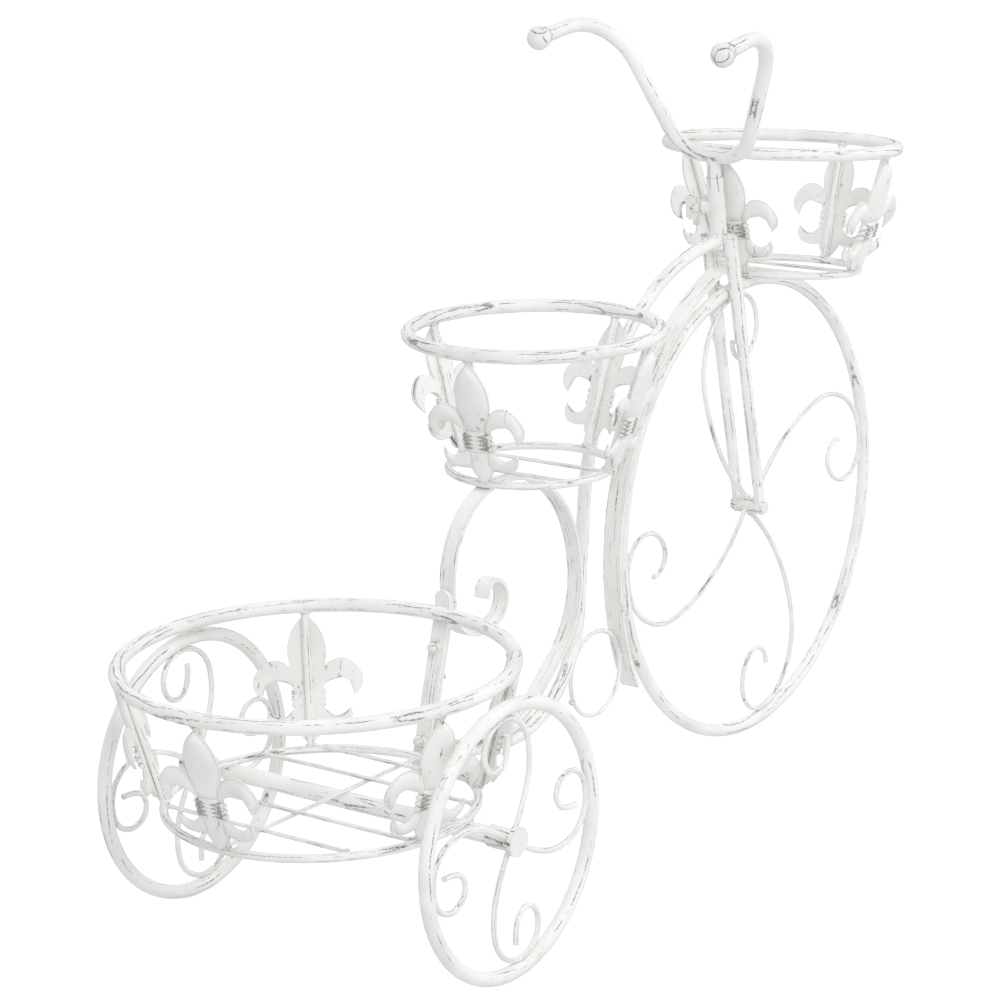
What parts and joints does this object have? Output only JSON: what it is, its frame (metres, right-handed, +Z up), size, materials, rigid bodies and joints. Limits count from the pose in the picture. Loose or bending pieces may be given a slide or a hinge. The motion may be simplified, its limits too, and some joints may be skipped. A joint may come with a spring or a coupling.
{
  "type": "tricycle plant stand",
  "caption": "Wire plant stand shaped like an old tricycle, with plant baskets over a large front wheel, on a looped strip and between the small rear wheels.",
  "frame": {"origin": "on the floor, at the middle of the length and width of the stand", "axes": "+X forward to the large wheel, +Y to the left of the stand, +Z up"},
  "size_m": [0.858, 0.2846, 0.5746],
  "materials": {
    "frame_tube": "satin antique white paint rubbed through to dark iron along the edges",
    "wheel_tube": "satin antique white paint with dark rubbed streaks",
    "wire": "satin antique white paint, dark in the corners",
    "flat_strip": "satin antique white paint, dark rubbed edges",
    "pressed_plate": "satin antique white paint over a pressed relief, dark in its lines",
    "fittings": "satin antique white paint, worn"
  },
  "bodies": {
    "frame": {"axle_caps": "fittings", "axle_rod": "fittings", "axle_tube": "frame_tube", "backbone_tube": "frame_tube", "brace_ring": "wire", "cap_nuts": "fittings", "cart_bar": "flat_strip", "clamp_boss": "frame_tube", "fender_lug": "flat_strip", "fender_strip": "flat_strip", "fork_blade_left": "frame_tube", "fork_blade_right": "frame_tube", "fork_leg_left": "frame_tube", "fork_leg_right": "frame_tube", "front_bottom_ring": "wire", "front_fleurs": "pressed_plate", "front_floor_wires": "wire", "front_hub": "fittings", "front_hub_pin": "fittings", "front_posts": "wire", "front_rim": "wheel_tube", "front_spokes": "wire", "front_top_ring": "wire", "head_tube": "frame_tube", "joint_bolts": "fittings", "loop_strip": "flat_strip", "lower_tongue": "flat_strip", "middle_bottom_ring": "wire", "middle_fleurs": "pressed_plate", "middle_floor_wires": "wire", "middle_posts": "wire", "middle_top_ring": "wire", "rear_bottom_ring": "wire", "rear_fleurs": "pressed_plate", "rear_floor_wires": "wire", "rear_long_wire": "wire", "rear_posts": "wire", "rear_top_ring": "wire", "upper_tongue": "flat_strip"},
    "rear_left_wheel": {"rear_left_rim": "wheel_tube", "rear_left_spokes": "wire", "rear_left_hub": "fittings"},
    "rear_right_wheel": {"rear_right_rim": "wheel_tube", "rear_right_spokes": "wire", "rear_right_hub": "fittings"},
    "stem": {"stem": "frame_tube"},
    "handlebar": {"handlebar": "frame_tube", "handlebar_balls": "fittings"},
    "wing_screw": {"wing_screw": "fittings"}
  },
  "joints": [
    {"name": "rear_left_wheel_spin", "type": "hinge", "parent": "frame", "child": "rear_left_wheel", "pos_m": [-0.266, 0.1364, 0.096], "axis": [0, 1, 0], "continuous": true},
    {"name": "rear_right_wheel_spin", "type": "hinge", "parent": "frame", "child": "rear_right_wheel", "pos_m": [-0.266, -0.1364, 0.096], "axis": [0, 1, 0], "continuous": true},
    {"name": "handlebar_height", "type": "slide", "parent": "frame", "child": "stem", "axis": [-0.1305, 0, 0.9914], "range_m": [-0.006, 0.02]},
    {"name": "handlebar_turn", "type": "hinge", "parent": "stem", "child": "handlebar", "pos_m": [0.19189, 0, 0.46948], "axis": [-0.1305, 0, 0.9914], "range_deg": [-3.5, 12.5]},
    {"name": "wing_screw_turn", "type": "hinge", "parent": "frame", "child": "wing_screw", "pos_m": [0.19712, 0, 0.42973], "axis": [-0.3846, 0.9217, -0.0506], "range_deg": [0, 720]}
  ]
}
